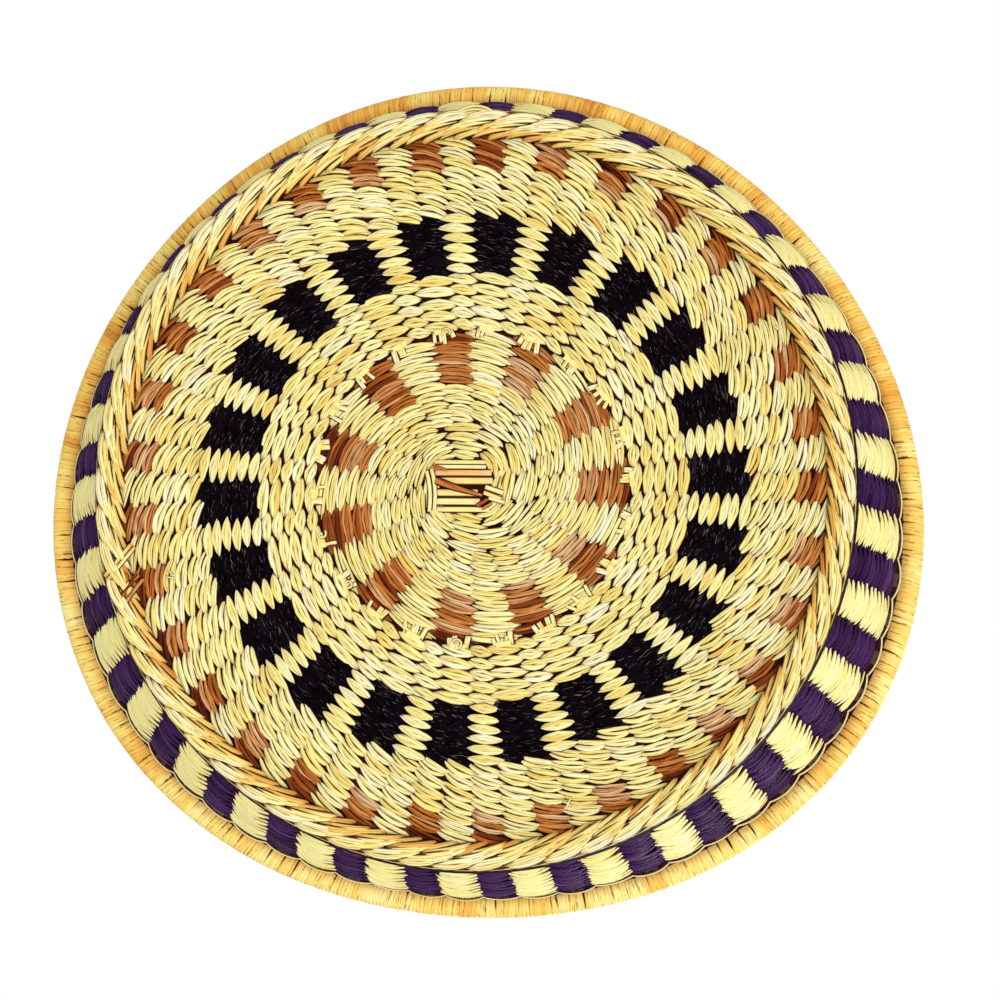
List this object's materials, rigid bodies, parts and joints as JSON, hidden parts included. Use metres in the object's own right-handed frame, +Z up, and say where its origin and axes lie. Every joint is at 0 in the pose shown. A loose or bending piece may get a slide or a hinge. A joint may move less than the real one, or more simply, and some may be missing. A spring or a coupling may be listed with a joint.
{
  "type": "grass basket",
  "caption": "Shallow round basket twined from flat grass straw in colour bands, with a plaited foot ring, flared striped wall and bound rim.",
  "frame": {"origin": "on the floor under the middle of the basket, at the foot's flat underside", "axes": "+Z up out of the basket's mouth, +X along the rim's longer diameter"},
  "size_m": [0.3364, 0.3205, 0.0699],
  "materials": {
    "natural_straw": "satin",
    "rust_straw": "satin",
    "dark_straw": "satin",
    "purple_straw": "satin",
    "rim_straw": "satin",
    "hoop_rod": "matte"
  },
  "bodies": {
    "root": {"stake_across_1": "natural_straw", "stake_across_2": "natural_straw", "stake_across_3": "natural_straw", "stake_across_4": "natural_straw", "stake_across_5": "natural_straw", "stake_across_6": "natural_straw", "stake_along_1": "natural_straw", "stake_along_2": "natural_straw", "stake_along_3": "natural_straw", "stake_along_4": "natural_straw", "stake_along_5": "natural_straw", "added_pair_01": "natural_straw", "added_pair_02": "natural_straw", "added_pair_03": "natural_straw", "added_pair_04": "natural_straw", "added_pair_05": "natural_straw", "added_pair_06": "natural_straw", "added_pair_07": "natural_straw", "added_pair_08": "natural_straw", "added_pair_09": "natural_straw", "added_pair_10": "natural_straw", "added_pair_11": "natural_straw", "added_pair_12": "natural_straw", "added_pair_13": "natural_straw", "added_pair_14": "natural_straw", "added_pair_15": "natural_straw", "added_pair_16": "natural_straw", "added_pair_17": "natural_straw", "added_pair_18": "natural_straw", "added_pair_19": "natural_straw", "added_pair_20": "natural_straw", "added_pair_21": "natural_straw", "added_pair_22": "natural_straw", "centre_weft": "natural_straw", "inner_pattern_weft": "rust_straw", "middle_weft": "natural_straw", "dark_pattern_weft": "dark_straw", "outer_weft": "natural_straw", "heel_weft": "purple_straw", "lower_wall_weft": "purple_straw", "upper_wall_weft": "purple_straw", "foot_plait": "natural_straw", "rim_hoop": "hoop_rod", "rim_binding": "rim_straw", "edge_strand": "natural_straw", "loose_straw": "rust_straw"}
  },
  "joints": []
}
